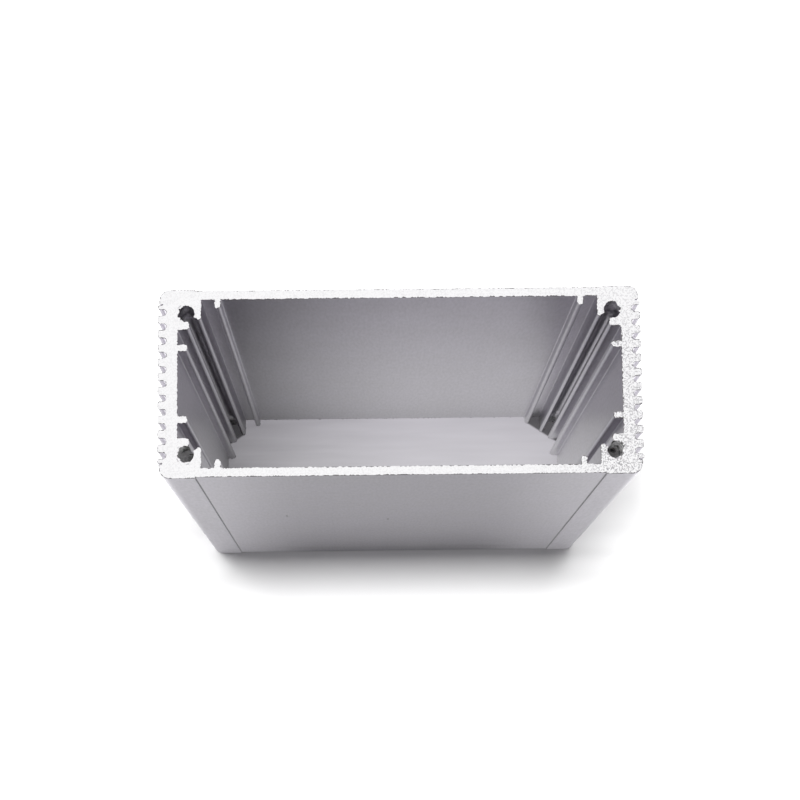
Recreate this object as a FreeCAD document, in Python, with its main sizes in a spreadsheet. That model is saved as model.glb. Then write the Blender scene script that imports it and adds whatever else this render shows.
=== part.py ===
import FreeCAD, Part

import math
import os

import Sketcher

# Extruded aluminium enclosure: one length of closed profile, sawn off square at both ends.
# Frame: the origin is the centre of the lower end, Z runs along the extrusion,
# X across the width and Y across the depth.

# Driving sizes, in millimetres, with plain numbers for counts and degrees for angles
SIZES = {
    # Length of profile, and the clear space inside it
    "body_length": 110,
    "inside_width": 60,
    "inside_depth": 23,
    # Walls
    "wide_wall": 1.2,
    "side_wall": 1.5,
    "corner_radius": 1.4,
    # Long margins that stand proud beside the flat panel of each wide wall
    "margin_width": 5.05,
    "margin_rise": 0.15,
    # Band of cooling fins on each side
    "fin_depth": 1.15,
    "fin_overhang": 0.2,
    "groove_count": 11,
    "groove_width": 0.83,
    "bead_round": 0.28,
    "end_bead": 0.57,
    "corner_height": 1.9,
    "notch_width": 0.2,
    "notch_depth": 0.5,
    # Open screw channel in each corner
    "screw_radius": 1.17,
    "screw_inset_x": 1.15,
    "screw_inset_y": 1.93,
    "mouth_from": 21,
    "mouth_to": 75,
    "horn_thickness": 0.86,
    "horn_length": 2.8,
    "horn_round": 0.4,
    "lip_thickness": 1.02,
    "lip_reach": 1.62,
    "lip_round": 0.5,
    # Board slots on the side walls, each between a screw channel's lip and a rail
    "board_slot": 2.03,
    "rail_thickness": 0.92,
    "rail_reach": 1.35,
    # Board slots on the wide walls, each between a screw channel's horn and a tongue
    "cross_slot": 1.83,
    "tongue_thickness": 0.82,
    "tongue_reach": 1.2,
}

# How far a cutting outline runs past the metal that it cuts
PASS = 1.0

# Half sizes of the space inside
INSIDE_X = "(sizes.inside_width / 2)"
INSIDE_Y = "(sizes.inside_depth / 2)"

# Outer faces: the panel and margins of a wide wall, the corner's side and the fin tips
PANEL_Y = f"({INSIDE_Y} + sizes.wide_wall)"
MARGIN_Y = f"({PANEL_Y} + sizes.margin_rise)"
TIP_X = f"({INSIDE_X} + sizes.side_wall + sizes.fin_depth)"
CORNER_X = f"({TIP_X} - sizes.fin_overhang)"
PANEL_X = f"({TIP_X} - sizes.margin_width)"

# Fin band: where it ends, and the grooves that part its beads
GROOVE_FLOOR_X = f"({INSIDE_X} + sizes.side_wall)"
CORNER_END_Y = f"({MARGIN_Y} - sizes.corner_height)"
BAND_END_Y = f"({CORNER_END_Y} - sizes.notch_width)"
GROOVE_HALF = "(sizes.groove_width / 2)"
LAST_GROOVE_Y = f"({BAND_END_Y} - sizes.end_bead - {GROOVE_HALF})"

# Insets from the side wall's and the wide wall's inner faces, towards the middle
HORN_INSET = "(sizes.screw_inset_x + sizes.screw_radius + sizes.horn_thickness)"
LIP_INSET = "(sizes.screw_inset_y + sizes.screw_radius + sizes.lip_thickness)"
RAIL_INSET = f"({LIP_INSET} + sizes.board_slot)"
TONGUE_INSET = f"({HORN_INSET} + sizes.cross_slot)"

QUADRANTS = ((1, 1), (-1, 1), (-1, -1), (1, -1))

# A sketch's own numbers for a segment's ends, an arc's centre and the sketch's origin
START, END, CENTRE = range(1, 4)
SKETCH_ORIGIN = -START


def fill_sheet(document):
    """Write each driving size to its own named cell."""
    sheet = document.addObject("Spreadsheet::Sheet", "sizes")
    for row, (name, size) in enumerate(SIZES.items(), start=1):
        sheet.set(f"A{row}", name)
        sheet.set(f"B{row}", str(size))
        sheet.setAlias(f"B{row}", name)
    document.recompute()


def origin_feature(body, role):
    """Return the body's own origin plane or axis of that role."""
    return next(item for item in body.Origin.OriginFeatures if item.Role == role)


def new_sketch(body, name):
    """Start a sketch on the plane of the body's lower end."""
    sketch = body.newObject("Sketcher::SketchObject", name)
    sketch.AttachmentSupport = [(origin_feature(body, "XY_Plane"), "")]
    sketch.MapMode = "FlatFace"
    return sketch


def inset(distance_x, distance_y):
    """Return the place that far in from the two inner wall faces of a corner."""
    return f"{INSIDE_X} - {distance_x}", f"{INSIDE_Y} - {distance_y}"


def tangent_arc(start, end, heading):
    """Return an arc from start to end that leaves along heading, and whether it turns left."""
    left = FreeCAD.Vector(-heading.y, heading.x, 0)
    chord = end - start
    reach = chord.dot(chord) / (2 * chord.dot(left))
    centre = start + left * reach
    first, last = (start, end) if reach > 0 else (end, start)
    angles = [math.atan2(point.y - centre.y, point.x - centre.x) for point in (first, last)]
    circle = Part.Circle(centre, FreeCAD.Vector(0, 0, 1), abs(reach))
    return Part.ArcOfCircle(circle, *angles), reach > 0


def draw_outline(sketch, path, sign_x=1, sign_y=1):
    """Draw a closed outline whose corners are bound to the sheet.

    Each item of path is (x, y, kind). The kind is that of the segment which leaves the point:
    "line", "arc after" for an arc tangent to the line before it,
    or "arc before" for an arc tangent to the line after it.
    """
    places = [(f"{sign_x} * ({x})", f"{sign_y} * ({y})") for x, y, kind in path]
    points = [
        FreeCAD.Vector(float(sketch.evalExpression(x)), float(sketch.evalExpression(y)), 0)
        for x, y in places
    ]
    kinds = [kind for x, y, kind in path]
    segments = []
    for index, kind in enumerate(kinds):
        segments.append(add_segment(sketch, points, index, kind))
    for index, (here, start, end) in enumerate(segments):
        before, start_before, end_before = segments[index - 1]
        smooth = kinds[index] == "arc after" or kinds[index - 1] == "arc before"
        join = "Tangent" if smooth else "Coincident"
        sketch.addConstraint(Sketcher.Constraint(join, before, end_before, here, start))
        bind(sketch, "DistanceX", here, start, points[index].x, places[index][0])
        bind(sketch, "DistanceY", here, start, points[index].y, places[index][1])


def add_segment(sketch, points, index, kind):
    """Add one segment, and return its number with the ends it starts and stops at."""
    start = points[index]
    end = points[(index + 1) % len(points)]
    if kind == "line":
        return sketch.addGeometry(Part.LineSegment(start, end)), START, END
    if kind == "arc after":
        heading = (start - points[index - 1]).normalize()
        arc, forward = tangent_arc(start, end, heading)
    else:
        heading = (end - points[(index + 2) % len(points)]).normalize()
        arc, turns_left = tangent_arc(end, start, heading)
        forward = not turns_left
    ends = (START, END) if forward else (END, START)
    return sketch.addGeometry(arc), *ends


def bind(sketch, kind, geometry, point, value, expression):
    """Hold one coordinate of a point at an expression of the sheet's sizes."""
    held = Sketcher.Constraint(kind, SKETCH_ORIGIN, START, geometry, point, value)
    number = sketch.addConstraint(held)
    sketch.setExpression(f"Constraints[{number}]", expression)


def pad(body, sketch, name):
    """Extrude the sketch over the whole length."""
    feature = body.newObject("PartDesign::Pad", name)
    feature.Profile = sketch
    feature.setExpression("Length", "sizes.body_length")
    return feature


def pocket(body, sketch, name):
    """Cut the sketch through the whole length, upwards from the lower end."""
    feature = body.newObject("PartDesign::Pocket", name)
    feature.Profile = sketch
    feature.Reversed = True
    feature.setExpression("Length", "sizes.body_length")
    return feature


def rectangle(x_from, x_to, y_from, y_to):
    """Return a plain rectangular path."""
    return [
        (x_from, y_from, "line"),
        (x_to, y_from, "line"),
        (x_to, y_to, "line"),
        (x_from, y_to, "line"),
    ]


def add_bar(body):
    """The full bar of the profile, with rounded corners, before anything is opened in it."""
    near_x = f"{CORNER_X} - sizes.corner_radius"
    near_y = f"{MARGIN_Y} - sizes.corner_radius"
    path = []
    for sign_x, sign_y in QUADRANTS:
        upright = (f"{sign_x} * ({CORNER_X})", f"{sign_y} * ({near_y})")
        level = (f"{sign_x} * ({near_x})", f"{sign_y} * ({MARGIN_Y})")
        first, second = (upright, level) if sign_x == sign_y else (level, upright)
        path.append((*first, "arc after"))
        path.append((*second, "line"))
    sketch = new_sketch(body, "bar_outline")
    draw_outline(sketch, path)
    return pad(body, sketch, "bar")


def add_fin_bands(body):
    """The raised band on each side that the grooves part into fins."""
    sketch = new_sketch(body, "fin_band_outline")
    for sign_x in (1, -1):
        band = rectangle(INSIDE_X, TIP_X, f"-1 * {BAND_END_Y}", BAND_END_Y)
        draw_outline(sketch, band, sign_x)
    return pad(body, sketch, "fin_bands")


def cut_panels(body):
    """Both wide walls are recessed between their margins."""
    sketch = new_sketch(body, "panel_outline")
    for sign_y in (1, -1):
        panel = rectangle(f"-1 * {PANEL_X}", PANEL_X, PANEL_Y, f"{MARGIN_Y} + {PASS}")
        draw_outline(sketch, panel, 1, sign_y)
    return pocket(body, sketch, "panels")


def cut_notches(body):
    """A fine notch parts each corner from the fin beside it."""
    sketch = new_sketch(body, "notch_outline")
    floor_x = f"{CORNER_X} - sizes.notch_depth"
    for sign_x, sign_y in QUADRANTS:
        notch = rectangle(floor_x, f"{TIP_X} + {PASS}", BAND_END_Y, CORNER_END_Y)
        draw_outline(sketch, notch, sign_x, sign_y)
    return pocket(body, sketch, "notches")


def cut_grooves(body):
    """Round-bottomed grooves, evenly spaced, leave a row of beads with rounded tips."""
    sketch = new_sketch(body, "groove_outline")
    low = f"(-1 * {LAST_GROOVE_Y} - {GROOVE_HALF})"
    high = f"(-1 * {LAST_GROOVE_Y} + {GROOVE_HALF})"
    shoulder_x = f"{TIP_X} - sizes.bead_round"
    bottom_x = f"{GROOVE_FLOOR_X} + {GROOVE_HALF}"
    outside_x = f"{TIP_X} + {PASS}"
    groove = [
        (outside_x, f"{high} + sizes.bead_round", "line"),
        (TIP_X, f"{high} + sizes.bead_round", "arc before"),
        (shoulder_x, high, "line"),
        (bottom_x, high, "arc after"),
        (bottom_x, low, "line"),
        (shoulder_x, low, "arc after"),
        (TIP_X, f"{low} - sizes.bead_round", "line"),
        (outside_x, f"{low} - sizes.bead_round", "line"),
    ]
    for sign_x in (1, -1):
        draw_outline(sketch, groove, sign_x)
    first_grooves = pocket(body, sketch, "first_grooves")
    grooves = body.newObject("PartDesign::LinearPattern", "grooves")
    grooves.Originals = [first_grooves]
    grooves.Direction = (origin_feature(body, "Y_Axis"), [""])
    grooves.setExpression("Length", f"2 * {LAST_GROOVE_Y}")
    grooves.setExpression("Occurrences", "sizes.groove_count")
    body.Tip = grooves
    return grooves


def cut_inside(body):
    """The clear space inside, open at both ends."""
    sketch = new_sketch(body, "inside_outline")
    space = rectangle(f"-1 * {INSIDE_X}", INSIDE_X, f"-1 * {INSIDE_Y}", INSIDE_Y)
    draw_outline(sketch, space)
    return pocket(body, sketch, "inside")


def ray_place(angle):
    """Return the insets of a place on the screw channel's rim, in the named direction."""
    along_x = f"(sizes.screw_inset_x + sizes.screw_radius * cos({angle} * 1 deg))"
    along_y = f"(sizes.screw_inset_y + sizes.screw_radius * sin({angle} * 1 deg))"
    return along_x, along_y


def add_channel_blocks(body):
    """The metal around each screw channel: a horn on the wide wall and a lip on the side wall."""
    sketch = new_sketch(body, "channel_block_outline")
    root_x = "(-1 * sizes.side_wall / 2)"
    root_y = "(-1 * sizes.wide_wall / 2)"
    places = [
        (HORN_INSET, root_y, "line"),
        (HORN_INSET, "(sizes.horn_length - sizes.horn_round)", "arc after"),
        (f"({HORN_INSET} - sizes.horn_round)", "sizes.horn_length", "line"),
        (*ray_place("sizes.mouth_from"), "line"),
        ("sizes.screw_inset_x", "sizes.screw_inset_y", "line"),
        (*ray_place("sizes.mouth_to"), "line"),
        ("sizes.lip_reach", f"({LIP_INSET} - sizes.lip_round)", "arc before"),
        ("(sizes.lip_reach - sizes.lip_round)", LIP_INSET, "line"),
        (root_x, LIP_INSET, "line"),
        (root_x, root_y, "line"),
    ]
    block = [(*inset(x, y), kind) for x, y, kind in places]
    for sign_x, sign_y in QUADRANTS:
        draw_outline(sketch, block, sign_x, sign_y)
    return pad(body, sketch, "channel_blocks")


def cut_screw_channels(body):
    """A round channel in each corner takes an end screw along its whole length."""
    sketch = new_sketch(body, "screw_channel_outline")
    centre_x, centre_y = inset("sizes.screw_inset_x", "sizes.screw_inset_y")
    for sign_x, sign_y in QUADRANTS:
        place_x = f"{sign_x} * ({centre_x})"
        place_y = f"{sign_y} * ({centre_y})"
        centre = FreeCAD.Vector(
            float(sketch.evalExpression(place_x)), float(sketch.evalExpression(place_y)), 0
        )
        radius = float(sketch.evalExpression("sizes.screw_radius"))
        circle = sketch.addGeometry(Part.Circle(centre, FreeCAD.Vector(0, 0, 1), radius))
        bind(sketch, "DistanceX", circle, CENTRE, centre.x, place_x)
        bind(sketch, "DistanceY", circle, CENTRE, centre.y, place_y)
        size = sketch.addConstraint(Sketcher.Constraint("Radius", circle, radius))
        sketch.setExpression(f"Constraints[{size}]", "sizes.screw_radius")
    return pocket(body, sketch, "screw_channels")


def add_rails(body):
    """A round-tipped rail on the side wall closes each board slot towards the middle."""
    sketch = new_sketch(body, "rail_outline")
    near = RAIL_INSET
    far = f"({RAIL_INSET} + sizes.rail_thickness)"
    shoulder = "(sizes.rail_reach - sizes.rail_thickness / 2)"
    root = "(-1 * sizes.side_wall / 2)"
    places = [
        (root, near, "line"),
        (shoulder, near, "arc after"),
        (shoulder, far, "line"),
        (root, far, "line"),
    ]
    rail = [(*inset(x, y), kind) for x, y, kind in places]
    for sign_x, sign_y in QUADRANTS:
        draw_outline(sketch, rail, sign_x, sign_y)
    return pad(body, sketch, "rails")


def add_tongues(body):
    """A round-tipped tongue on the wide wall closes each cross slot towards the middle."""
    sketch = new_sketch(body, "tongue_outline")
    near = TONGUE_INSET
    far = f"({TONGUE_INSET} + sizes.tongue_thickness)"
    shoulder = "(sizes.tongue_reach - sizes.tongue_thickness / 2)"
    root = "(-1 * sizes.wide_wall / 2)"
    places = [
        (near, root, "line"),
        (near, shoulder, "arc after"),
        (far, shoulder, "line"),
        (far, root, "line"),
    ]
    tongue = [(*inset(x, y), kind) for x, y, kind in places]
    for sign_x, sign_y in QUADRANTS:
        draw_outline(sketch, tongue, sign_x, sign_y)
    return pad(body, sketch, "tongues")


def check_document(document, body):
    """Stop when an object failed, or the body isn't one sound solid."""
    failed = [item.Name for item in document.Objects if {"Invalid", "Error"} & set(item.State)]
    if failed:
        raise RuntimeError(f"failed objects: {failed}")
    shape = body.Shape
    if shape.isNull() or not shape.isValid() or len(shape.Solids) != 1:
        raise RuntimeError(f"{body.Label} is not one valid solid")


def check_step(feature, adds):
    """Stop when a feature left the body's volume as it was, or changed it the wrong way."""
    before = feature.BaseFeature.Shape.Volume if feature.BaseFeature else 0.0
    gain = feature.Shape.Volume - before
    if gain == 0 or (gain > 0) != adds:
        raise RuntimeError(f"{feature.Name} changed the volume by {gain:.3f} mm3")


def build():
    """Build the body step by step, check it and write it out."""
    document = FreeCAD.newDocument("extruded_enclosure")
    fill_sheet(document)
    body = document.addObject("PartDesign::Body", "extruded_body")
    body.Label = "extruded_body"
    steps = (
        (add_bar, True),
        (add_fin_bands, True),
        (cut_panels, False),
        (cut_notches, False),
        (cut_grooves, False),
        (cut_inside, False),
        (add_channel_blocks, True),
        (cut_screw_channels, False),
        (add_rails, True),
        (add_tongues, True),
    )
    for step, adds in steps:
        feature = step(body)
        document.recompute()
        check_step(feature, adds)
    document.recompute()
    check_document(document, body)
    os.makedirs("parts", exist_ok=True)
    body.Shape.exportStep(f"parts/{body.Label}.step")
    box = body.Shape.BoundBox
    print(f"{body.Label}: {box.XLength:.3f} x {box.YLength:.3f} x {box.ZLength:.3f} mm")
    print(f"volume {body.Shape.Volume:.1f} mm3, faces {len(body.Shape.Faces)}")


build()
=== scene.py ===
"""One length of extruded aluminium enclosure profile, standing on its sawn end on a white floor."""

from __future__ import annotations

import logging
import math
from collections.abc import Callable
from dataclasses import dataclass, field
from enum import Enum
from typing import Any

import bpy
from mathutils import Matrix, Vector

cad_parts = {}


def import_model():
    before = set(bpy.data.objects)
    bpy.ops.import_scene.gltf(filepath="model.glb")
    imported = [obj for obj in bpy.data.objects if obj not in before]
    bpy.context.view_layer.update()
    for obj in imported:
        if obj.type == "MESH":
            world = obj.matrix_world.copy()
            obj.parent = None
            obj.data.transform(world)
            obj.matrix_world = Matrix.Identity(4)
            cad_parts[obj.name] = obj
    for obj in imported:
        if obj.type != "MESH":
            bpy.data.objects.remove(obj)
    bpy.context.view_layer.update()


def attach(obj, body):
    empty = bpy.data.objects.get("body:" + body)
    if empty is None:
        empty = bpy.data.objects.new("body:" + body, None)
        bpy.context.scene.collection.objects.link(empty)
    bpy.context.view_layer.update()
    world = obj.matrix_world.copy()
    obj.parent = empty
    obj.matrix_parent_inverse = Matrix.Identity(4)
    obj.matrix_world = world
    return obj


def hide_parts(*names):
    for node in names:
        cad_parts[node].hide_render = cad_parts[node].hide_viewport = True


LOG = logging.getLogger("enclosure")

MM = 0.001
BODY = "root"
FRAME_NODE = "extruded_body"

# What every noise wavers around
NOISE_MIDDLE = 0.5

# The Mix node's colour sockets, whose names other sockets of it have too
MIX_COLOURS = (6, 7)
MIX_RESULT = 2

# The middle of the screw channels, in the quarter where x and y are positive
CHANNEL_CENTRE = (0.02885, 0.00957, 0.0)

# The least turn that is rounded, in radians, and the steps of wide and of tight corners, in degrees
LEAST_TURN = 0.02
WIDE_STEP = 15.0
TIGHT_STEP = 30.0
TIGHT_RADIUS = 0.2

# The least gap between an outline's points, and how far past a screw channel its rim still counts
LEAST_GAP = 0.004
CHANNEL_SLACK = 0.05

# The least cosine that a corner's direction is divided by, so that no corner grows a spike
LEAST_COSINE = 0.5

# The angle from which an edge is shaded sharp, in degrees, and how far off a rim a vertex may be
SHARP_ANGLE = 32.0
RIM_REACH = 0.000005

Colour = tuple[float, float, float]
Place = tuple[float, float, float]
Span = tuple[float, float]
Band = tuple[Span, Span]


class Side(Enum):
    """The side that the metal is on, for someone who walks along an outline."""

    RIGHT = 1.0
    LEFT = -1.0


# Node trees

def operator(operation: str) -> Callable[..., Wire]:
    """Return a method of a wire that adds a Math node."""
    return lambda wire, *others: wire.maths(operation, *others)


@dataclass(frozen=True, eq=False)
class Wire:
    """One output socket of a node tree, on which Python operators add Math nodes."""

    tree: Tree
    socket: bpy.types.NodeSocket

    def maths(self, operation: str, *others: Any) -> Wire:
        """Return what a Math node makes of this value and the others."""
        operands = dict(enumerate((self, *others)))
        return self.tree.add("ShaderNodeMath", {"operation": operation}, operands).out()

    __add__ = __radd__ = operator("ADD")
    __mul__ = __rmul__ = operator("MULTIPLY")
    __sub__ = operator("SUBTRACT")
    __abs__ = operator("ABSOLUTE")
    __lt__ = operator("LESS_THAN")
    __gt__ = operator("GREATER_THAN")
    least = operator("MINIMUM")
    most = operator("MAXIMUM")

    def __rsub__(self, other: float) -> Wire:
        """Return a number less this value."""
        return self.tree.number(other).maths("SUBTRACT", self)

    def __neg__(self) -> Wire:
        """Return the value with its sign turned."""
        return self.maths("MULTIPLY", -1.0)

    def rise(self, low: float, high: float) -> Wire:
        """Return a smooth step.

        Args:
            low: The value at which the step gives 0.
            high: The value at which it gives 1.

        Returns:
            The step, between 0 and 1.
        """
        settings = {"interpolation_type": "SMOOTHSTEP"}
        ends = {"Value": self, "From Min": low, "From Max": high}
        return self.tree.add("ShaderNodeMapRange", settings, ends).out("Result")

    def band(self, start: Span, stop: Span) -> Wire:
        """Return a smooth band, which begins over one span and ends over another."""
        return self.rise(*start) * (1.0 - self.rise(*stop))

    def split(self) -> tuple[Wire, Wire, Wire]:
        """Return a vector's three numbers."""
        node = self.tree.add("ShaderNodeSeparateXYZ", {}, {"Vector": self})
        return node.out("X"), node.out("Y"), node.out("Z")


@dataclass(frozen=True, eq=False)
class Node:
    """A node of a tree, whose outputs are read as wires."""

    tree: Tree
    node: bpy.types.Node

    def out(self, name: str | int = 0) -> Wire:
        """Return an output, by name or number."""
        return Wire(self.tree, self.node.outputs[name])


@dataclass(frozen=True, eq=False)
class Tree:
    """A shader or geometry tree, to which every node is added by one method."""

    tree: bpy.types.NodeTree

    def add(self, kind: str, settings: dict[str, Any], inputs: dict[str | int, Any]) -> Node:
        """Add a node.

        Args:
            kind: The node's type.
            settings: Its own settings, set before its inputs.
            inputs: Values or wires by the sockets' names or numbers; a list gives several wires.

        Returns:
            The node.
        """
        node = self.tree.nodes.new(kind)
        for name, setting in settings.items():
            setattr(node, name, setting)
        for name, given in inputs.items():
            socket = node.inputs[name]
            for item in given if isinstance(given, list) else [given]:
                if isinstance(item, Wire):
                    self.tree.links.new(item.socket, socket)
                else:
                    socket.default_value = item
        return Node(self, node)

    def number(self, value: float) -> Wire:
        """Add a Value node.

        Args:
            value: The number that it holds.

        Returns:
            The number as a wire.
        """
        node = self.add("ShaderNodeValue", {}, {})
        node.node.outputs[0].default_value = value
        return node.out()

    def object_place(self) -> Wire:
        """Return the object's coordinates."""
        return self.add("ShaderNodeTexCoord", {}, {}).out("Object")

    def rays(self) -> tuple[Wire, Wire]:
        """Tell the camera's rays from the mirrored ones.

        Returns:
            Whether a ray comes from the camera, and whether it was mirrored or let through.
        """
        path = self.add("ShaderNodeLightPath", {}, {})
        mirrored = path.out("Is Glossy Ray") + path.out("Is Transmission Ray")
        return path.out("Is Camera Ray"), mirrored.least(1.0)

    def distance(self, place: Wire, centre: Place) -> Wire:
        """Return how far a place is from a centre."""
        sockets = {0: place, 1: centre}
        return self.add("ShaderNodeVectorMath", {"operation": "DISTANCE"}, sockets).out("Value")

    def stretched(self, place: Wire, scale: Place) -> Wire:
        """Return coordinates scaled on each axis."""
        return self.add("ShaderNodeMapping", {}, {"Vector": place, "Scale": scale}).out()

    def mixed(self, factor: Wire, first: Colour | Wire, second: Colour | Wire) -> Wire:
        """Mix two colours.

        Args:
            factor: How much of the second colour there is.
            first: The first colour.
            second: The second colour.

        Returns:
            The mixed colour.
        """
        sockets: dict[str | int, Any] = {0: factor}
        for number, colour in zip(MIX_COLOURS, (first, second)):
            sockets[number] = colour if isinstance(colour, Wire) else (*colour, 1.0)
        return self.add("ShaderNodeMix", {"data_type": "RGBA"}, sockets).out(MIX_RESULT)

    def shaded(self, colour: Wire, factor: Wire) -> Wire:
        """Return a colour, each of whose numbers is multiplied by a factor."""
        sockets = {0: colour, "Scale": factor}
        return self.add("ShaderNodeVectorMath", {"operation": "SCALE"}, sockets).out(0)


def shader_tree(name: str) -> tuple[bpy.types.Material, Tree]:
    """Start a material.

    Args:
        name: The material's name.

    Returns:
        The material, and its empty tree.
    """
    material = bpy.data.materials.new(name)
    material.use_nodes = True
    material.node_tree.nodes.clear()
    return material, Tree(material.node_tree)


@dataclass(frozen=True)
class Grain:
    """A noise, and the span over which it turns from nothing into a full mark, if it has one.

    The scale is in cells to the metre, the detail the number of finer layers and the roughness
    their strength.
    """

    scale: float | Place
    detail: float = 2.0
    roughness: float = 0.5
    span: Span | None = None

    def on(self, tree: Tree, place: Wire) -> Wire:
        """Lay the noise on coordinates.

        Args:
            tree: The tree that its nodes go to.
            place: The coordinates.

        Returns:
            The noise, or how much of a mark there is.
        """
        scale = self.scale
        if isinstance(scale, tuple):
            place, scale = tree.stretched(place, scale), 1.0
        sockets = {"Vector": place, "Scale": scale, "Detail": self.detail, "Roughness": self.roughness}
        noise = tree.add("ShaderNodeTexNoise", {}, sockets).out()
        return noise.rise(*self.span) if self.span else noise


# Finishes

def channel_gap(tree: Tree, place: Wire) -> Wire:
    """Measure how far a place is from the middle of the nearest screw channel.

    Args:
        tree: The material's tree.
        place: The object's coordinates.

    Returns:
        The distance, in metres.
    """
    x, y, _ = place.split()
    flat = tree.add("ShaderNodeCombineXYZ", {}, {"X": abs(x), "Y": abs(y)}).out()
    return tree.distance(flat, CHANNEL_CENTRE)


@dataclass(frozen=True)
class Finish:
    """A metal finish."""

    name: str

    def looks(self, tree: Tree, place: Wire) -> dict[str | int, Any]:
        """Return the inputs of the metal's shader by name, worked out in a tree from a place."""
        raise NotImplementedError

    def material(self) -> bpy.types.Material:
        """Build the material.

        Returns:
            The material.
        """
        material, tree = shader_tree(self.name)
        inputs = {"Metallic": 1.0} | self.looks(tree, tree.object_place())
        metal = tree.add("ShaderNodeBsdfPrincipled", {}, inputs)
        tree.add("ShaderNodeOutputMaterial", {}, {"Surface": metal.out()})
        return material


@dataclass(frozen=True)
class SatinAnodise(Finish):
    """Satin anodised aluminium, with a fine grain and the marks that its making left, painted shade in
    the steps of its wide walls, and pale mottle in its screw channels that is partly painted light.
    """

    name: str = "satin_anodise"
    colour: Colour = (0.622, 0.597, 0.663)
    thin_colour: Colour = (0.607, 0.584, 0.64)
    rubbed_and_lit_colour: Colour = (0.9, 0.894, 0.898)
    # It stays above 0.275: below, denoising takes the metal for a mirror, and the change shows
    roughness: float = 0.29
    cloud_roughness: float = 0.04
    rubbed_roughness: float = 0.45
    grains: tuple[tuple[Grain, float], ...] = (
        (Grain((1500.0, 1500.0, 6.0), 2.0, 0.6), 0.0455),
        (Grain((4200.0, 4200.0, 30.0), 1.0), 0.0245),
        (Grain((2600.0, 2600.0, 450.0), 1.0), 0.3),
    )
    clouds: Grain = Grain(90.0, 3.0, 0.6)
    cloud_contrast: float = 0.06
    cloud_span: Span = (0.35, 0.65)
    least_shade: float = 0.1
    most_shade: float = 1.3
    step_x: float = 0.027564
    step_from_y: float = 0.0124
    step_span: Span = (0.000054, 0.000117)
    step_shade: float = 0.5
    drags: tuple[Place, ...] = ((-0.01716, -0.0127, 0.0602), (-0.00144, -0.0127, 0.0541))
    drag_span: Span = (0.000096, 0.00024)
    drag_stretch: float = 0.12
    drag_shade: float = 0.55
    drag_wander: float = 0.00024
    drag_grain: Grain = Grain(5000.0)
    # The screw channels' pale mottle near the ends is partly real rubbing, partly painted light:
    # stronger and deeper in the near channels, where more light reaches
    channel_reach: float = 0.00126
    far_channel_depth: float = 0.013
    far_channel_share: float = 0.4
    near_channel_depth: float = 0.024
    channel_fade: float = 0.6
    blotches: Grain = Grain((620.0, 620.0, 240.0), 3.0, 0.6)
    blotch_middle: float = 0.48
    blotch_contrast: float = 8.0
    ridges: Grain = Grain((500.0, 500.0, 330.0), 1.0)
    ridge_height: float = 0.004
    middle_z: float = 0.055

    def looks(self, tree: Tree, place: Wire) -> dict[str | int, Any]:
        """Work out the inputs of the metal's shader.

        Args:
            tree: The material's tree.
            place: The object's coordinates.

        Returns:
            The inputs by name.
        """
        clouds = self.clouds.on(tree, place)
        cloudiness = clouds - NOISE_MIDDLE
        # Painted light and reflection: the channels' mottle gets a pale tint and bright and dark
        # blotches
        rubbed = self.rubbed(tree, place)
        blotches = (self.blotches.on(tree, place) - self.blotch_middle) * self.blotch_contrast
        shade = 1.0 + cloudiness * self.cloud_contrast
        for grain, contrast in self.grains:
            shade = shade + (grain.on(tree, place) - NOISE_MIDDLE) * contrast
        shade = shade * self.painted_step_shade(place) * self.drag_marks(tree, place)
        shade = shade * (1.0 + rubbed * blotches)
        shade = shade.most(self.least_shade).least(self.most_shade)
        height = rubbed * self.ridges.on(tree, place)
        relief = {"Strength": 1.0, "Distance": self.ridge_height, "Height": height}
        tint = tree.mixed(clouds.rise(*self.cloud_span), self.colour, self.thin_colour)
        tint = tree.mixed(rubbed, tint, self.rubbed_and_lit_colour)
        roughness = self.roughness + cloudiness * self.cloud_roughness
        return {
            "Base Color": tree.shaded(tint, shade),
            "Roughness": roughness + rubbed * self.rubbed_roughness,
            "Normal": tree.add("ShaderNodeBump", {}, relief).out(),
        }

    def painted_step_shade(self, place: Wire) -> Wire:
        """Paint shade into the corner of the fine step between a wide wall's panel and its margins.

        Args:
            place: The object's coordinates.

        Returns:
            A factor, below 1 in the step's corner.
        """
        x, y, _ = place.split()
        inside = 1.0 - abs(abs(x) - self.step_x).rise(*self.step_span)
        return 1.0 - inside * (abs(y) > self.step_from_y) * (1.0 - self.step_shade)

    def drag_marks(self, tree: Tree, place: Wire) -> Wire:
        """Shade the few short marks dragged along the near panel.

        Args:
            tree: The material's tree.
            place: The object's coordinates.

        Returns:
            A factor, below 1 in the marks.
        """
        flat = tree.stretched(place, (1.0, 1.0, self.drag_stretch))
        uneven = (self.drag_grain.on(tree, place) - NOISE_MIDDLE) * self.drag_wander
        shade = tree.number(1.0)
        for x, y, z in self.drags:
            gap = tree.distance(flat, (x, y, z * self.drag_stretch)) + uneven
            shade = shade * (self.drag_shade + (1.0 - self.drag_shade) * gap.rise(*self.drag_span))
        return shade

    def rubbed(self, tree: Tree, place: Wire) -> Wire:
        """Find where the screw channels are mottled near the sawn ends, partly by real rubbing and
        partly as painted light, which is stronger and deeper in the near channels.

        Args:
            tree: The material's tree.
            place: The object's coordinates.

        Returns:
            How much mottle and painted light there is, between 0 and 1.
        """
        _, y, z = place.split()
        near = y < 0.0
        marked = near * self.near_end(z, self.near_channel_depth)
        far_marks = self.near_end(z, self.far_channel_depth) * self.far_channel_share
        marked = marked + (1.0 - near) * far_marks
        return (channel_gap(tree, place) < self.channel_reach) * marked

    def near_end(self, z: Wire, depth: float) -> Wire:
        """Return 1 at the sawn ends, and 0 farther in from them than a depth."""
        first = self.middle_z - depth
        return abs(z - self.middle_z).rise(first, self.middle_z - depth * self.channel_fade)


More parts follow.
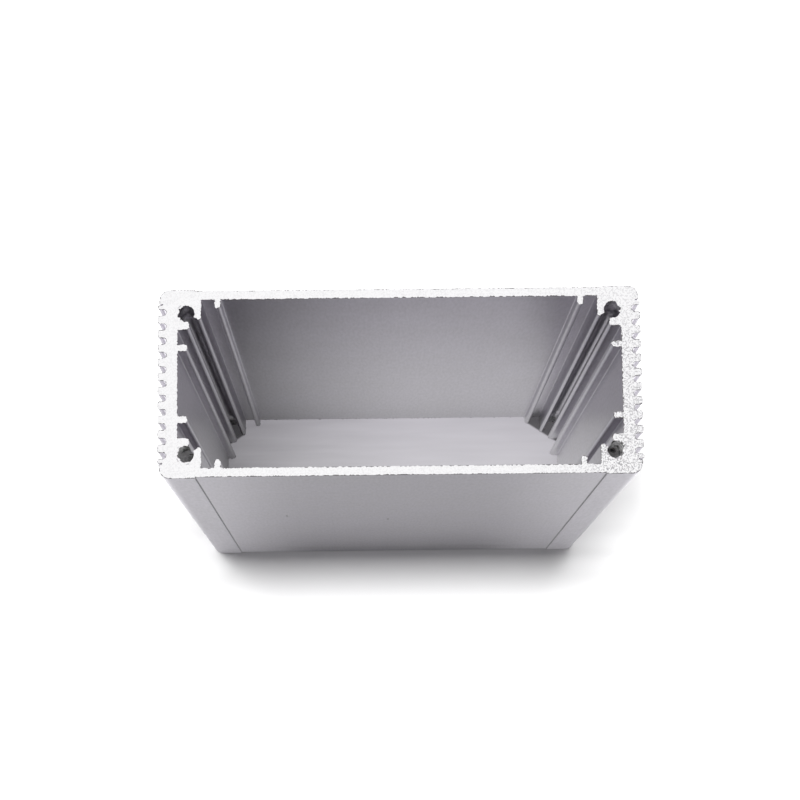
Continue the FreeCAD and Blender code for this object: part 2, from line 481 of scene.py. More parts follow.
@dataclass(frozen=True)
class SawnMetal(Finish):
    """Bright bare aluminium as a saw leaves it, curled into a fine grain where the blade rubbed, with
    painted shadow in broken arcs round the screw channels.
    """

    name: str = "sawn_metal"
    colour: Colour = (0.965, 0.96, 0.97)
    mark_and_shadow_colour: Colour = (0.4, 0.39, 0.41)
    roughness: float = 0.34
    mark_roughness: float = 0.15
    mark_depth: float = 0.00001
    mark_relief: float = 0.3
    rubbed_x: Span = (0.018, 0.031)
    rubbed_y: Span = (0.003, 0.010)
    rubbed_drop: float = 0.7
    rubbed_wander: float = 0.008
    rubbed_grain: Grain = Grain(120.0)
    pits: Grain = Grain(4500.0, 2.0, 0.6, (0.5, 0.75))
    pit_contrast: float = 0.1
    rubbed_pit_contrast: float = 0.12
    curls: Grain = Grain(2100.0, 1.0)
    curl_span: Span = (0.03, 0.1)
    curl_contrast: float = 0.14
    rubbed_curl_contrast: float = 0.73
    breaks: Grain = Grain(4620.0, 1.0, 0.5, (0.36, 0.56))
    patches: Grain = Grain(260.0, 2.0, 0.5, (0.35, 0.65))
    patch_share: float = 0.3
    # The broken arcs round the screw channels are painted shadow, cast by small steps of the sawn end
    rim_shadow_radius: float = 0.00138
    rim_shadow_span: Span = (0.000042, 0.00014)
    rim_shadow_contrast: float = 0.55
    rim_shadow_wander: float = 0.0006
    rim_shadow_grain: Grain = Grain(900.0)
    rim_shadow_patches: Grain = Grain(1000.0, 1.0, 0.5, (0.54, 0.64))

    def looks(self, tree: Tree, place: Wire) -> dict[str | int, Any]:
        """Work out the inputs of the metal's shader.

        Args:
            tree: The material's tree.
            place: The object's coordinates.

        Returns:
            The inputs by name.
        """
        x, y, _ = place.split()
        wander = self.rubbed_wander * (self.rubbed_grain.on(tree, place) - NOISE_MIDDLE)
        rubbed = (x + wander).rise(*self.rubbed_x)
        rubbed = rubbed * (1.0 - self.rubbed_drop * (y + wander).rise(*self.rubbed_y))
        ridges = abs(self.curls.on(tree, place) - NOISE_MIDDLE)
        curls = (1.0 - ridges.rise(*self.curl_span)) * self.breaks.on(tree, place)
        patches = self.patches.on(tree, place)
        patchy = rubbed * (1.0 - self.patch_share + self.patch_share * patches)
        marks = self.pits.on(tree, place) * (self.pit_contrast + self.rubbed_pit_contrast * rubbed)
        marks = marks + curls * (self.curl_contrast + self.rubbed_curl_contrast * patchy)
        # The pits and curls are real marks; the arcs round the screw channels are painted shadow in the
        # same dark colour
        marks = marks.most(self.rim_shadows(tree, place)).least(1.0)
        relief = {"Strength": self.mark_relief, "Distance": self.mark_depth, "Height": -marks}
        return {
            "Base Color": tree.mixed(marks, self.colour, self.mark_and_shadow_colour),
            "Roughness": self.roughness + marks * self.mark_roughness,
            "Normal": tree.add("ShaderNodeBump", {}, relief).out(),
        }

    def rim_shadows(self, tree: Tree, place: Wire) -> Wire:
        """Work out the broken arcs of painted shadow round the screw channels, where small steps of the
        sawn end cast shade.

        Args:
            tree: The material's tree.
            place: The object's coordinates.

        Returns:
            How much painted shadow there is, between 0 and 1.
        """
        wander = (self.rim_shadow_grain.on(tree, place) - NOISE_MIDDLE) * self.rim_shadow_wander
        away = channel_gap(tree, place) + wander
        arc = 1.0 - abs(away - self.rim_shadow_radius).rise(*self.rim_shadow_span)
        return arc * self.rim_shadow_patches.on(tree, place) * self.rim_shadow_contrast


@dataclass(frozen=True)
class TornEdgeShadow(Finish):
    """The faces that the saw tore along the sawn edges, painted dark grey as the thin shadow that runs
    along those edges.
    """

    name: str = "torn_edge_shadow"
    colour: Colour = (0.1, 0.098, 0.1)
    pale_colour: Colour = (0.27, 0.26, 0.27)
    roughness: float = 0.5
    tears: Grain = Grain(2500.0, 2.0, 0.6, (0.3, 0.7))

    def looks(self, tree: Tree, place: Wire) -> dict[str | int, Any]:
        """Return the inputs of the metal's shader by name."""
        colour = tree.mixed(self.tears.on(tree, place), self.colour, self.pale_colour)
        return {"Base Color": colour, "Roughness": self.roughness}


# The profile's section

@dataclass(frozen=True)
class Corner:
    """A corner of an outline, in millimetres, with the radius that it is rounded to."""

    x: float
    y: float
    radius: float = 0.0

    def vector(self) -> Vector:
        """Return the corner's place."""
        return Vector((self.x, self.y))


def round_corner(before: Corner, here: Corner, after: Corner) -> list[Vector]:
    """Round one corner of an outline.

    Args:
        before: The corner before it.
        here: The corner.
        after: The corner after it.

    Returns:
        The points that take the corner's place.
    """
    place = here.vector()
    back = before.vector() - place
    ahead = after.vector() - place
    turn = math.pi - back.angle(ahead)
    if here.radius == 0.0 or turn < LEAST_TURN:
        return [place]
    room_back = back.length * here.radius / (here.radius + before.radius)
    room_ahead = ahead.length * here.radius / (here.radius + after.radius)
    cut = min(here.radius * math.tan(turn / 2), room_back, room_ahead)
    radius = cut / math.tan(turn / 2)
    back.normalize()
    ahead.normalize()
    centre = place + (back + ahead).normalized() * (radius / math.cos(turn / 2))
    start = place + back * cut - centre
    side = 1.0 if ahead.cross(back) > 0 else -1.0
    step_size = TIGHT_STEP if radius < TIGHT_RADIUS else WIDE_STEP
    steps = max(2, math.ceil(math.degrees(turn) / step_size))
    return [
        centre + Matrix.Rotation(side * turn * step / steps, 2) @ start for step in range(steps + 1)
    ]


@dataclass(frozen=True)
class Dent:
    """A place where the saw tore more than usual out of an inner edge, in millimetres."""

    x: float
    y: float
    radius: float
    depth: float

    def depth_at(self, point: Vector) -> float:
        """Return the dent's depth at a point of an outline."""
        away = (point - Vector((self.x, self.y))).length / self.radius
        return self.depth * max(0.0, 1.0 - away * away)


@dataclass(frozen=True)
class Section:
    """The profile's section, all sizes in millimetres. It is the same in all four quarters."""

    inside_x: float = 30.0
    inside_y: float = 11.5
    panel_y: float = 12.7
    panel_x: float = 27.6
    margin_y: float = 12.85
    corner_x: float = 32.45
    corner_radius: float = 1.4
    corner_end_y: float = 10.95
    band_end_y: float = 10.75
    notch_depth: float = 0.45
    notch_slope: float = 0.07
    tip_x: float = 32.65
    groove_floor_x: float = 31.5
    groove_pitch: float = 1.953
    groove_half: float = 0.415
    grooves_each_way: int = 5
    bead_round: float = 0.28
    screw_x: float = 1.15
    screw_y: float = 1.93
    screw_radius: float = 1.17
    mouth_from: float = 21.0
    mouth_to: float = 75.0
    rim_steps: int = 32
    horn_inset: float = 3.18
    horn_length: float = 2.8
    horn_round: float = 0.4
    lip_inset: float = 4.12
    lip_reach: float = 1.62
    lip_round: float = 0.5
    rail_from: float = 6.15
    rail_to: float = 7.07
    rail_reach: float = 1.35
    tongue_from: float = 5.01
    tongue_to: float = 5.83
    tongue_reach: float = 1.2
    arris: float = 0.08
    root: float = 0.12
    spacing: float = 0.11
    outer_chip: float = 0.12
    inner_chip: float = 0.17
    chip_lean: float = 0.2
    channel_chip: float = 0.06
    flap: float = 0.08
    channel_flap: float = 0.26
    dents: tuple[Dent, ...] = (Dent(29.5, 5.35, 0.9, 0.6), Dent(29.7, -8.75, 0.55, 0.7))

    def outer_quarter(self) -> list[Corner]:
        """List the outer corners of the quarter at the right of the far wall.

        Returns:
            The corners, from the far wall to the side wall.
        """
        notch_x = self.corner_x - self.notch_depth
        corners = [
            Corner(self.panel_x, self.panel_y, self.arris),
            Corner(self.panel_x, self.margin_y, self.arris),
            Corner(self.corner_x, self.margin_y, self.corner_radius),
            Corner(self.corner_x, self.corner_end_y, self.root),
            Corner(notch_x, self.corner_end_y - self.notch_slope, self.arris),
            Corner(notch_x, self.band_end_y + self.notch_slope, self.arris),
            Corner(self.tip_x, self.band_end_y, self.root),
        ]
        for number in range(self.grooves_each_way, -1, -1):
            middle = number * self.groove_pitch
            corners.append(Corner(self.tip_x, middle + self.groove_half, self.bead_round))
            corners.append(Corner(self.groove_floor_x, middle + self.groove_half, self.groove_half))
            if number:
                corners.append(Corner(self.groove_floor_x, middle - self.groove_half, self.groove_half))
                corners.append(Corner(self.tip_x, middle - self.groove_half, self.bead_round))
        return corners

    def inner_quarter(self) -> list[Corner]:
        """List the inner corners of the same quarter.

        Returns:
            The corners, from the far wall to the side wall.
        """
        half_tongue = (self.tongue_to - self.tongue_from) / 2
        half_rail = (self.rail_to - self.rail_from) / 2
        insets = [
            (self.tongue_to, 0.0, self.root),
            (self.tongue_to, self.tongue_reach, half_tongue),
            (self.tongue_from, self.tongue_reach, half_tongue),
            (self.tongue_from, 0.0, self.root),
            (self.horn_inset, 0.0, self.root),
            (self.horn_inset, self.horn_length, self.horn_round),
            (self.horn_inset - self.horn_round, self.horn_length, 0.0),
            *self.screw_rim(),
            (self.lip_reach, self.lip_inset - self.lip_round, 0.0),
            (self.lip_reach, self.lip_inset, self.lip_round),
            (0.0, self.lip_inset, self.root),
            (0.0, self.rail_from, self.root),
            (self.rail_reach, self.rail_from, half_rail),
            (self.rail_reach, self.rail_to, half_rail),
            (0.0, self.rail_to, self.root),
        ]
        return [Corner(self.inside_x - a, self.inside_y - b, radius) for a, b, radius in insets]

    def screw_rim(self) -> list[tuple[float, float, float]]:
        """Follow the screw channel's rim the long way round, from one side of its mouth to the other.

        Returns:
            The rim's points, as insets from the inside's corner with their radii.
        """
        sweep = self.mouth_from + 360.0 - self.mouth_to
        rim = []
        for step in range(self.rim_steps + 1):
            angle = math.radians(self.mouth_from - sweep * step / self.rim_steps)
            edge = self.arris if step in (0, self.rim_steps) else 0.0
            along = self.screw_x + self.screw_radius * math.cos(angle)
            up = self.screw_y + self.screw_radius * math.sin(angle)
            rim.append((along, up, edge))
        return rim

    def loop(self, quarter: list[Corner]) -> list[Vector]:
        """Mirror a quarter into a whole outline, round its corners and set its points close.

        Args:
            quarter: The corners from the far wall's middle to the right wall's middle.

        Returns:
            The outline's points in millimetres, clockwise from above.
        """
        corners = []
        for sign_x, sign_y in ((1, 1), (1, -1), (-1, -1), (-1, 1)):
            turned = [Corner(sign_x * c.x, sign_y * c.y, c.radius) for c in quarter]
            corners += turned if sign_x == sign_y else turned[::-1]
        points = []
        for index, corner in enumerate(corners):
            after = corners[(index + 1) % len(corners)]
            for point in round_corner(corners[index - 1], corner, after):
                if not points or (point - points[-1]).length > LEAST_GAP:
                    points.append(point)
        return close_set(points, self.spacing)

    def from_channel(self, point: Vector) -> Vector:
        """Return a point's place in its own quarter, from the screw channel's centre."""
        centre = Vector((self.inside_x - self.screw_x, self.inside_y - self.screw_y))
        return Vector((abs(point.x), abs(point.y))) - centre

    def chip_reach(self, point: Vector) -> float:
        """Say how far the saw may have chipped the inner edge back at a place.

        Args:
            point: A point of the inner outline, in millimetres.

        Returns:
            The deepest chip there, in millimetres.
        """
        in_channel = self.from_channel(point).length < self.screw_radius + CHANNEL_SLACK
        chip = self.channel_chip if in_channel else self.inner_chip
        chip *= 1.0 - self.chip_lean + self.chip_lean * point.x / self.inside_x
        return chip + sum(dent.depth_at(point) for dent in self.dents)

    def flap_reach(self, point: Vector) -> float:
        """Say how far the saw may have turned the edge over the opening at a place.

        Args:
            point: A point of the inner outline, in millimetres.

        Returns:
            The longest flap there, in millimetres.
        """
        away = self.from_channel(point)
        if away.length > self.screw_radius + CHANNEL_SLACK:
            return self.flap
        outward = max(0.0, away.normalized().x)
        return self.flap + (self.channel_flap - self.flap) * outward


def close_set(points: list[Vector], spacing: float) -> list[Vector]:
    """Put more points on the long sides of an outline.

    Args:
        points: A closed outline.
        spacing: The longest side allowed.

    Returns:
        The outline with its sides divided.
    """
    closer = []
    for index, point in enumerate(points):
        side = points[(index + 1) % len(points)] - point
        parts = math.ceil(side.length / spacing)
        closer += [point + side * (part / parts) for part in range(parts)]
    return closer


def into_metal(points: list[Vector], side: Side) -> list[Vector]:
    """Return each point's direction into the metal, long enough to shift both its edges by one.

    Args:
        points: A closed outline.
        side: The side that the metal is on.

    Returns:
        One vector for each point.
    """
    directions = []
    for index, point in enumerate(points):
        back = (point - points[index - 1]).normalized()
        ahead = (points[(index + 1) % len(points)] - point).normalized()
        normals = [Vector((edge.y, -edge.x)) * side.value for edge in (back, ahead)]
        middle = (normals[0] + normals[1]).normalized()
        directions.append(middle / max(LEAST_COSINE, middle.dot(normals[0])))
    return directions


def outline_object(name: str, section: Section) -> bpy.types.Object:
    """Make a wire object of a section, with the attributes "inward", "chip" and "flap".

    Args:
        name: The object's name.
        section: The section.

    Returns:
        The object.
    """
    places: list[Place] = []
    edges: list[tuple[int, int]] = []
    inward: list[float] = []
    chips: list[float] = []
    flaps: list[float] = []
    quarters = ((section.outer_quarter(), Side.RIGHT), (section.inner_quarter(), Side.LEFT))
    for quarter, side in quarters:
        points = section.loop(quarter)
        first = len(places)
        count = len(points)
        places += [(point.x * MM, point.y * MM, 0.0) for point in points]
        edges += [(first + number, first + (number + 1) % count) for number in range(count)]
        for direction in into_metal(points, side):
            inward += [direction.x, direction.y, 0.0]
        if side is Side.RIGHT:
            chips += [section.outer_chip * MM] * count
            flaps += [0.0] * count
        else:
            chips += [section.chip_reach(point) * MM for point in points]
            flaps += [section.flap_reach(point) * MM for point in points]
    mesh = bpy.data.meshes.new(name)
    mesh.from_pydata(places, edges, [])
    attribute = mesh.attributes.new("inward", "FLOAT_VECTOR", "POINT")
    attribute.data.foreach_set("vector", inward)
    for name_of_values, values in (("chip", chips), ("flap", flaps)):
        attribute = mesh.attributes.new(name_of_values, "FLOAT", "POINT")
        attribute.data.foreach_set("value", values)
    shape = bpy.data.objects.new(name, mesh)
    bpy.context.scene.collection.objects.link(shape)
    return shape


def geometry_tree(name: str, sizes: dict[str, float]) -> tuple[Tree, dict[str, Wire], Wire]:
    """Start a geometry tree with named inputs.

    Args:
        name: The tree's name.
        sizes: The inputs, with their values.

    Returns:
        The tree, its inputs by name and the geometry that comes in.
    """
    group = bpy.data.node_groups.new(name, "GeometryNodeTree")
    for way in ("INPUT", "OUTPUT"):
        group.interface.new_socket("Geometry", in_out=way, socket_type="NodeSocketGeometry")
    for size_name, value in sizes.items():
        socket = group.interface.new_socket(size_name, in_out="INPUT", socket_type="NodeSocketFloat")
        socket.default_value = value
    tree = Tree(group)
    entry = tree.add("NodeGroupInput", {}, {})
    wires = {size_name: entry.out(size_name) for size_name in sizes}
    return tree, wires, entry.out("Geometry")


def grow(shape: bpy.types.Object, tree: Tree, sizes: dict[str, float]) -> bpy.types.Object:
    """Run a geometry tree on an object and keep its result as a plain mesh.

    Args:
        shape: The object that the tree works on.
        tree: The geometry tree.
        sizes: The values of its named inputs.

    Returns:
        The same object, with the result as its mesh and no modifier left.
    """
    modifier = shape.modifiers.new("shape", "NODES")
    modifier.node_group = tree.tree
    for item in tree.tree.interface.items_tree:
        if item.in_out == "INPUT" and item.name in sizes:
            modifier[item.identifier] = sizes[item.name]
    graph = bpy.context.evaluated_depsgraph_get()
    mesh = bpy.data.meshes.new_from_object(shape.evaluated_get(graph), depsgraph=graph)
    shape.modifiers.clear()
    source = shape.data
    shape.data = mesh
    bpy.data.meshes.remove(source)
    mesh.name = shape.name
    drop_empty_slots(mesh)
    for polygon in mesh.polygons:
        polygon.use_smooth = True
    mesh.set_sharp_from_angle(angle=math.radians(SHARP_ANGLE))
    return shape


def drop_empty_slots(mesh: bpy.types.Mesh) -> None:
    """Leave a mesh only the material slots that hold a material.

    Args:
        mesh: The mesh.
    """
    held = [material for material in mesh.materials if material]
    numbers = [held.index(mesh.materials[polygon.material_index]) for polygon in mesh.polygons]
    mesh.materials.clear()
    for material in held:
        mesh.materials.append(material)
    mesh.polygons.foreach_set("material_index", numbers)


# Sub-assemblies

@dataclass
class Profile:
    """The enclosure itself: one closed profile, sawn off square at both ends."""

    name: str = "enclosure_profile"
    length: float = 110.0 * MM
    edge_depth: float = 0.07 * MM
    chip_share: float = 1.0
    flap_share: float = 1.0
    least_chip: float = 0.1
    even_chip: float = 0.4
    patchy_chip: float = 0.6
    patches: Grain = Grain(500.0, 1.0, 0.5, (0.3, 0.6))
    chips: Grain = Grain(3600.0, 2.0, 0.7, (0.38, 0.64))
    curls: Grain = Grain(2000.0, 2.0, 0.6, (0.42, 0.6))
    end_reach: float = 0.00001
    weld_reach: float = 1e-7
    wall_upright: float = -1.0
    edge_upright: float = 0.15
    end_upright: float = 0.97
    section: Section = field(default_factory=Section)
    wall_finish: SatinAnodise = field(default_factory=SatinAnodise)
    end_finish: SawnMetal = field(default_factory=SawnMetal)
    edge_shadow_finish: TornEdgeShadow = field(default_factory=TornEdgeShadow)

    def tree(self, sizes: dict[str, float]) -> Tree:
        """Build the tree that fills the section, draws it out and breaks its end edges.

        Args:
            sizes: The named inputs with their values.

        Returns:
            The geometry tree.
        """
        tree, wires, outline = geometry_tree("drawn_profile", sizes)
        curve = tree.add("GeometryNodeMeshToCurve", {}, {0: outline}).out()
        flat = tree.add("GeometryNodeFillCurve", {}, {0: curve}).out()
        underside = tree.add("GeometryNodeFlipFaces", {}, {0: flat}).out()
        edge = wires["Edge depth"]
        run = wires["Length"] - edge * 2.0
        drawn, top = flat, None
        for distance in (edge, run, edge):
            inputs = {"Mesh": drawn, "Offset": (0.0, 0.0, 1.0), "Offset Scale": distance}
            inputs["Individual"] = False
            if top is not None:
                inputs["Selection"] = top
            node = tree.add("GeometryNodeExtrudeMesh", {}, inputs)
            drawn, top = node.out("Mesh"), node.out("Top")
        both = tree.add("GeometryNodeJoinGeometry", {}, {0: [drawn, underside]}).out()
        welded = {"Geometry": both, "Distance": self.weld_reach}
        whole = tree.add("GeometryNodeMergeByDistance", {}, welded).out()
        shaped = self.broken_edges(tree, wires, outline, whole)
        solid = tree.add("GeometryNodeRealizeInstances", {}, {0: shaped}).out()
        normal = tree.add("GeometryNodeInputNormal", {}, {}).out("Normal")
        upright = abs(normal.split()[2])
        dressed = solid
        # The torn edge faces get a dark finish that paints the shade along the sawn edges
        finishes = (
            (self.wall_finish, self.wall_upright),
            (self.edge_shadow_finish, self.edge_upright),
            (self.end_finish, self.end_upright),
        )
        for finish, least in finishes:
            inputs = {"Geometry": dressed, "Selection": upright > least, "Material": finish.material()}
            dressed = tree.add("GeometryNodeSetMaterial", {}, inputs).out()
        tree.add("NodeGroupOutput", {}, {0: dressed})
        return tree

    def broken_edges(self, tree: Tree, wires: dict[str, Wire], outline: Wire, whole: Wire) -> Wire:
        """Chip the end faces back along every edge and turn flaps of them over the openings.

        Args:
            tree: The geometry tree.
            wires: Its named inputs.
            outline: The section's outlines.
            whole: The drawn profile.

        Returns:
            The profile with its edges broken.
        """
        place = tree.add("GeometryNodeInputPosition", {}, {}).out()
        x, y, z = place.split()
        flat_place = tree.add("ShaderNodeCombineXYZ", {}, {"X": x, "Y": y, "Z": 0.0}).out()
        nearest = {"Geometry": outline, "Sample Position": flat_place}
        index = tree.add("GeometryNodeSampleNearest", {}, nearest).out()
        sampled = []
        for name, kind in (("inward", "FLOAT_VECTOR"), ("chip", "FLOAT"), ("flap", "FLOAT")):
            named = tree.add("GeometryNodeInputNamedAttribute", {"data_type": kind}, {"Name": name})
            inputs = {"Geometry": outline, "Value": named.out(), "Index": index}
            sampled.append(tree.add("GeometryNodeSampleIndex", {"data_type": kind}, inputs).out())
        direction, chip, flap = sampled
        middle = wires["Length"] * 0.5
        at_end = abs(z - middle) > (middle - self.end_reach)
        patchy = self.even_chip + self.patchy_chip * self.patches.on(tree, place)
        depth = self.least_chip + self.chips.on(tree, place) * patchy
        back = chip * wires["Chip share"] * depth
        curls = self.curls.on(tree, place)
        reach = (back - flap * wires["Flap share"] * curls) * at_end
        shift = {0: direction, "Scale": reach}
        offset = tree.add("ShaderNodeVectorMath", {"operation": "SCALE"}, shift).out(0)
        return tree.add("GeometryNodeSetPosition", {}, {"Geometry": whole, "Offset": offset}).out()

    def build(self) -> bpy.types.Object:
        """Make the profile and dress it.

        Returns:
            The finished piece.
        """
        sizes = {
            "Length": self.length,
            "Edge depth": self.edge_depth,
            "Chip share": self.chip_share,
            "Flap share": self.flap_share,
        }
        shape = outline_object(self.name, self.section)
        piece = grow(shape, self.tree(sizes), sizes)
        self.part_shading(piece.data)
        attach(piece, BODY)
        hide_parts(FRAME_NODE)
        return piece

    def part_shading(self, mesh: bpy.types.Mesh) -> None:
        """Make the rims of the torn edges sharp, so that none of them shades a whole wall.

        Args:
            mesh: The profile's mesh.
        """
        rims = (0.0, self.edge_depth, self.length - self.edge_depth, self.length)
        level = []
        for vertex in mesh.vertices:
            height = vertex.co.z
            near = [number for number, rim in enumerate(rims) if abs(height - rim) < RIM_REACH]
            level.append(near[0] if near else -1)
        for edge in mesh.edges:
            start, stop = (level[number] for number in edge.vertices)
            if start == stop:
                edge.use_edge_sharp = True


# Stage

@dataclass(frozen=True)
class Landing:
    """Where on the floor a ray lands, and whether it is the camera's or was mirrored."""

    tree: Tree
    place: Wire
    x: Wire
    y: Wire
    seen: Wire
    mirrored: Wire


@dataclass
class Stage:
    """The white floor, the light and the camera."""

    focal_pixels: float = 2282.7
    picture: int = 800
    sensor: float = 36.0
    turn_x: float = -9.013
    turn_y: float = 0.757
    turn_z: float = 0.623
    offset: Place = (-1.233 * MM, -14.731 * MM, -416.209 * MM)
    clip_start: float = 0.01
    clip_end: float = 20.0
    floor_half: float = 3.0
    floor_white: float = 0.85
    floor_mirrored: float = 0.36
    floor_glow: float = 0.07
    foot_glow: float = 0.05
    foot_span: Span = (-0.023, -0.0135)
    foot_side_glow: float = 0.17
    foot_side_span: Span = (0.012, 0.028)
    side_glow: float = 0.68
    side_span: Span = (0.034, 0.075)
    side_drop: float = 0.6
    side_fade: Span = (0.09, 0.2)
    groove_glow: float = 1.15
    groove_span: Span = (-0.022, -0.008)
    groove_fade: Span = (0.07, 0.12)
    distant_span: Span = (0.12, 0.35)
    front_dimness: float = 0.3
    front_span: Span = (0.016, 0.036)
    near_band: Band = ((0.028, 0.032), (0.043, 0.0485))
    front_band: Band = ((0.0085, 0.0125), (0.0145, 0.0185))
    front_lift: float = 0.18
    back_band: Band = ((-0.0095, -0.003), (0.012, 0.02))
    back_drop: float = 0.14
    inner_x: float = 0.0306
    inner_y: float = 0.0122
    inner_white: float = 0.12
    inner_tint: Colour = (1.02, 0.985, 1.07)
    inner_glow: float = 0.375
    left_dimness: float = 0.25
    left_span: Span = (-0.036, 0.008)
    far_glow: float = 0.09
    far_span: Span = (-0.002, 0.0125)
    streak_contrast: float = 0.09
    streaks: Grain = Grain((60.0, 700.0, 1.0))
    mirrored_dimness: float = 1.25
    mirrored_gain: float = 1.29
    pocket_slope: float = 0.66
    pocket_span: Span = (0.0264, 0.0269)
    right_pocket: Span = (0.0245, 0.0249)
    left_pocket: Span = (0.0268, 0.0272)
    pocket_drop: float = 0.8
    pocket_white_drop: float = 0.7
    near_sky: float = 0.4
    far_sky: float = 1.05
    sky_light: float = 0.17
    sky_lean: float = 0.9
    sky_span: Span = (-0.6, 0.6)
    lamp_place: Place = (-0.025, 0.0415, 1.0)
    lamp_width: float = 0.23
    lamp_depth: float = 0.095
    lamp_power: float = 15.5

    def camera(self) -> None:
        """Place the camera as the photograph was taken."""
        turn = (
            Matrix.Rotation(math.radians(self.turn_z), 3, "Z")
            @ Matrix.Rotation(math.radians(self.turn_y), 3, "Y")
            @ Matrix.Rotation(math.radians(self.turn_x), 3, "X")
        )
        lens = bpy.data.cameras.new("camera")
        lens.sensor_fit = "HORIZONTAL"
        lens.sensor_width = self.sensor
        lens.lens = self.focal_pixels * self.sensor / self.picture
        lens.clip_start = self.clip_start
        lens.clip_end = self.clip_end
        camera = bpy.data.objects.new("camera", lens)
        back = turn.transposed()
        camera.location = -(back @ Vector(self.offset))
        camera.rotation_euler = back.to_euler()
        bpy.context.scene.collection.objects.link(camera)
        bpy.context.scene.camera = camera

    def floor(self) -> None:
        """Lay the floor."""
        half = self.floor_half
        mesh = bpy.data.meshes.new("floor")
        corners = [(-half, -half, 0.0), (half, -half, 0.0), (half, half, 0.0), (-half, half, 0.0)]
        mesh.from_pydata(corners, [], [(0, 1, 2, 3)])
        mesh.materials.append(self.floor_material())
        floor = bpy.data.objects.new("floor", mesh)
        bpy.context.scene.collection.objects.link(floor)

    def floor_material(self) -> bpy.types.Material:
        """Build the floor's material, white but for the shadow, with painted light and shade that stand
        in for what the surroundings add.

        Returns:
            The material.
        """
        material, tree = shader_tree("floor")
        seen, mirrored = tree.rays()
        place = tree.object_place()
        x, y, _ = place.split()
        ray = Landing(tree, place, x, y, seen, mirrored)
        inside = (abs(x) < self.inner_x) * (abs(y) < self.inner_y)
        # Painted shade in the pockets at the feet of the rails and screw channels
        pocket_shade = self.pocket_shade(ray)
        white = self.floor_white + mirrored * (self.floor_mirrored - self.floor_white)
        # Painted shade: the floor in front of the object is dimmed in the metal's reflections
        in_front = (1.0 - abs(x).rise(*self.front_span)) * (y < -self.inner_y) * mirrored
        white = white * (1.0 - in_front * self.front_dimness)
        white = white * (1.0 + seen * self.side_shade(ray))
        # Inside the footprint the floor's colour drops and painted light takes its place
        inner_white = self.inner_white * (1.0 - self.pocket_white_drop * pocket_shade)
        white = white + inside * (seen + mirrored).least(1.0) * (inner_white - white)
        outside_glow = self.outside_glow(ray)
        strength = outside_glow + inside * (self.inside_glow(ray, pocket_shade) - outside_glow)
        shades = {"Red": white, "Green": white, "Blue": white}
        colour = tree.add("ShaderNodeCombineColor", {}, shades).out()
        paper = tree.add("ShaderNodeBsdfDiffuse", {}, {"Color": colour})
        tint = tree.mixed(inside * seen, (1.0, 1.0, 1.0), self.inner_tint)
        glow = tree.add("ShaderNodeEmission", {}, {"Color": tint, "Strength": strength})
        both = tree.add("ShaderNodeAddShader", {}, {0: paper.out(), 1: glow.out()})
        tree.add("ShaderNodeOutputMaterial", {}, {"Surface": both.out()})
        return material

    def pocket_shade(self, ray: Landing) -> Wire:
        """Find the painted shade that darkens the floor in the pockets at the feet of the rails and
        screw channels.

        Args:
            ray: Where a ray lands.

        Returns:
            1 in the pockets and 0 elsewhere.
        """
        behind = (abs(ray.y) + abs(ray.x) * self.pocket_slope).rise(*self.pocket_span)
        beyond = ray.x.rise(*self.right_pocket) + (-ray.x).rise(*self.left_pocket)
        return behind * beyond.least(1.0)

    def side_shade(self, ray: Landing) -> Wire:
        """Say how much painted shade and light change the floor beside the object, against what the
        softbox alone gives.

        Args:
            ray: Where a ray lands.

        Returns:
            What is added to a factor of 1.
        """
        near = abs(ray.x).band(*self.near_band)
        at_front = (-ray.y).band(*self.front_band)
        at_back = ray.y.band(*self.back_band) * (ray.x > 0.0)
        return near * (at_front * self.front_lift - at_back * self.back_drop)

    def outside_glow(self, ray: Landing) -> Wire:
        """Work out the painted light that stands in for what the surroundings add to the floor outside
        the object.

        Args:
            ray: Where a ray lands.

        Returns:
            The strength of the glow.
        """
        settings = {"operation": "LENGTH"}
        away = ray.tree.add("ShaderNodeVectorMath", settings, {0: ray.place}).out("Value")
        groove = ray.y.rise(*self.groove_span) * (1.0 - away.rise(*self.groove_fade))
        side = self.side_glow * (1.0 - self.side_drop * away.rise(*self.side_fade))
        beside = abs(ray.x).rise(*self.side_span) * (side + groove * self.groove_glow)
        foot = (ray.y < -self.inner_y) * ray.y.rise(*self.foot_span)
        at_side = abs(ray.x).rise(*self.foot_side_span)
        foot = foot * (self.foot_glow + at_side * self.foot_side_glow)
        glow = ray.mirrored * (self.floor_glow + beside + foot)
        return glow + ray.seen * away.rise(*self.distant_span)

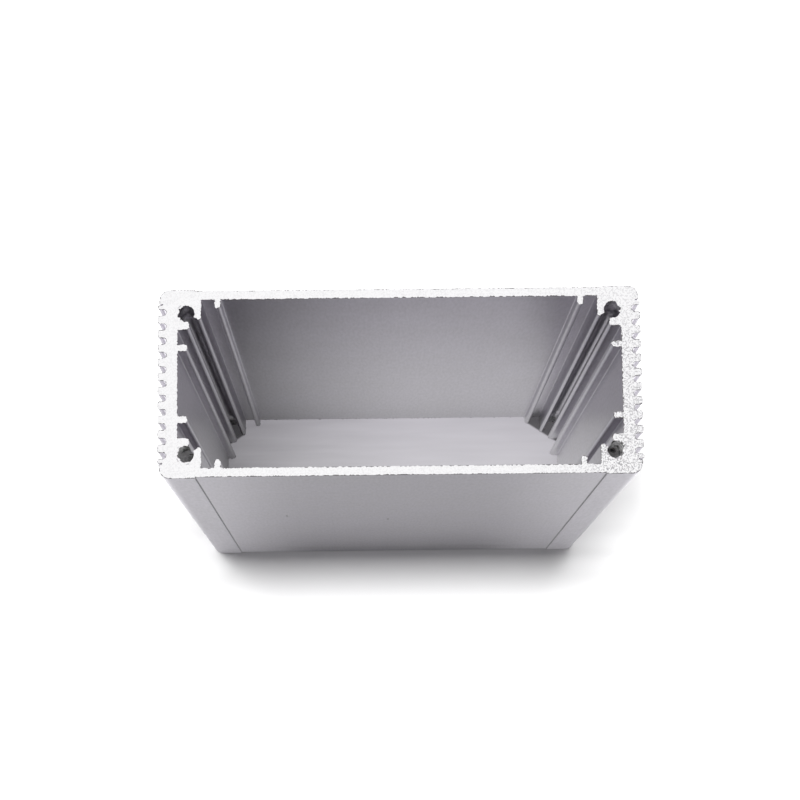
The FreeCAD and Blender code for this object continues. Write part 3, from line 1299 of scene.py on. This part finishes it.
    def inside_glow(self, ray: Landing, pocket_shade: Wire) -> Wire:
        """Work out the painted light that stands in for what the light falling down the opening adds to
        the floor inside it.

        Args:
            ray: Where a ray lands.
            pocket_shade: Where the dark pockets are.

        Returns:
            The strength of the glow.
        """
        dimness = (1.0 - ray.x.rise(*self.left_span)) * self.left_dimness
        streaks = (self.streaks.on(ray.tree, ray.place) - NOISE_MIDDLE) * self.streak_contrast
        far = ray.y.rise(*self.far_span) * self.far_glow
        glow = ray.seen * (self.inner_glow - dimness + far + streaks)
        mirrored = ray.mirrored * (self.inner_glow - dimness * self.mirrored_dimness)
        return (glow + mirrored * self.mirrored_gain) * (1.0 - self.pocket_drop * pocket_shade)

    def world(self) -> None:
        """Give the world a plain light, white to the camera and, overhead, to the metal."""
        world = bpy.data.worlds.new("world")
        world.use_nodes = True
        world.node_tree.nodes.clear()
        tree = Tree(world.node_tree)
        seen, mirrored = tree.rays()
        _, back, height = tree.add("ShaderNodeTexCoord", {}, {}).out("Generated").split()
        overhead = (back + height * self.sky_lean).rise(*self.sky_span)
        shape = self.near_sky + (self.far_sky - self.near_sky) * overhead
        strength = shape * (self.sky_light + mirrored * (1.0 - self.sky_light))
        strength = strength * (1.0 - seen) + seen
        inputs = {"Strength": strength, "Color": (1.0, 1.0, 1.0, 1.0)}
        sky = tree.add("ShaderNodeBackground", {}, inputs)
        tree.add("ShaderNodeOutputWorld", {}, {"Surface": sky.out()})
        bpy.context.scene.world = world

    def lamp(self) -> None:
        """Hang the softbox almost straight above the object, where the metal doesn't mirror it."""
        light = bpy.data.lights.new("softbox", "AREA")
        light.shape = "RECTANGLE"
        light.size = self.lamp_width
        light.size_y = self.lamp_depth
        light.energy = self.lamp_power
        lamp = bpy.data.objects.new("softbox", light)
        lamp.location = self.lamp_place
        lamp.visible_glossy = False
        bpy.context.scene.collection.objects.link(lamp)

    def build(self) -> None:
        """Set up the camera, the floor, the world and the lamp."""
        self.camera()
        self.floor()
        self.world()
        self.lamp()
        bpy.context.scene.view_settings.view_transform = "Standard"


def report(piece: bpy.types.Object) -> None:
    """Log what a piece came to.

    Args:
        piece: The finished piece.
    """
    mesh = piece.data
    mesh.calc_loop_triangles()
    materials = ", ".join(material.name for material in mesh.materials)
    LOG.info("%s: %d triangles, %s", piece.name, len(mesh.loop_triangles), materials)


def main() -> None:
    """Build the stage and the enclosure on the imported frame."""
    logging.basicConfig(level=logging.INFO, format="%(name)s: %(message)s")
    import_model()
    Stage().build()
    report(Profile().build())


if __name__ == "__main__":
    main()
